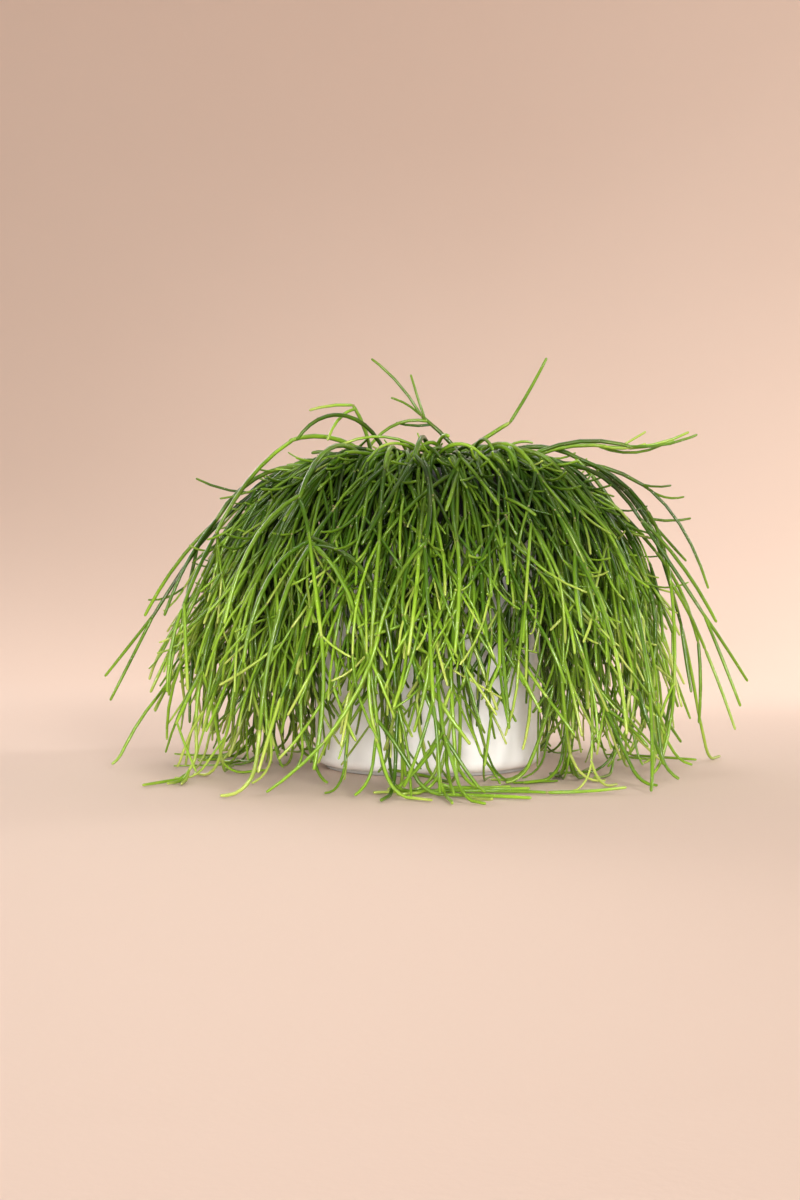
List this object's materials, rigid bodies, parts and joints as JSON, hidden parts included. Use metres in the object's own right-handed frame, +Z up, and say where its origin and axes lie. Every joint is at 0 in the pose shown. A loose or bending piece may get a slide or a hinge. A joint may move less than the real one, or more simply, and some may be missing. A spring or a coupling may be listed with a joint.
{
  "type": "mistletoe cactus",
  "caption": "Mistletoe cactus with slim hanging forked stems, rooted in potting mix in a black grower pot that sits wedged in a white cylindrical cover pot.",
  "frame": {"origin": "centre of the cover pot's underside, on the surface that it stands on", "axes": "+Z up along the pot's axis, -Y towards the front"},
  "size_m": [0.5612, 0.5548, 0.3662],
  "materials": {
    "white_glaze": "satin",
    "black_plastic": "matte",
    "potting_mix": "matte",
    "green_stem": "satin"
  },
  "bodies": {
    "root": {"grower_pot": "black_plastic", "pot": "white_glaze", "potting_mix": "potting_mix", "spray_01": "green_stem", "spray_02": "green_stem", "spray_03": "green_stem", "spray_04": "green_stem", "spray_05": "green_stem", "spray_06": "green_stem", "spray_07": "green_stem", "spray_08": "green_stem", "spray_09": "green_stem", "spray_10": "green_stem", "spray_11": "green_stem", "spray_12": "green_stem", "spray_13": "green_stem", "spray_14": "green_stem", "spray_15": "green_stem", "spray_16": "green_stem", "spray_17": "green_stem", "spray_18": "green_stem", "spray_19": "green_stem", "spray_20": "green_stem", "spray_21": "green_stem", "spray_22": "green_stem", "spray_23": "green_stem", "spray_24": "green_stem", "spray_25": "green_stem", "spray_26": "green_stem", "spray_27": "green_stem", "spray_28": "green_stem", "spray_29": "green_stem", "spray_30": "green_stem", "spray_31": "green_stem", "spray_32": "green_stem", "spray_33": "green_stem", "spray_34": "green_stem", "spray_35": "green_stem", "spray_36": "green_stem", "spray_37": "green_stem", "spray_38": "green_stem", "spray_39": "green_stem", "spray_40": "green_stem", "spray_41": "green_stem", "spray_42": "green_stem", "spray_43": "green_stem"}
  },
  "joints": []
}
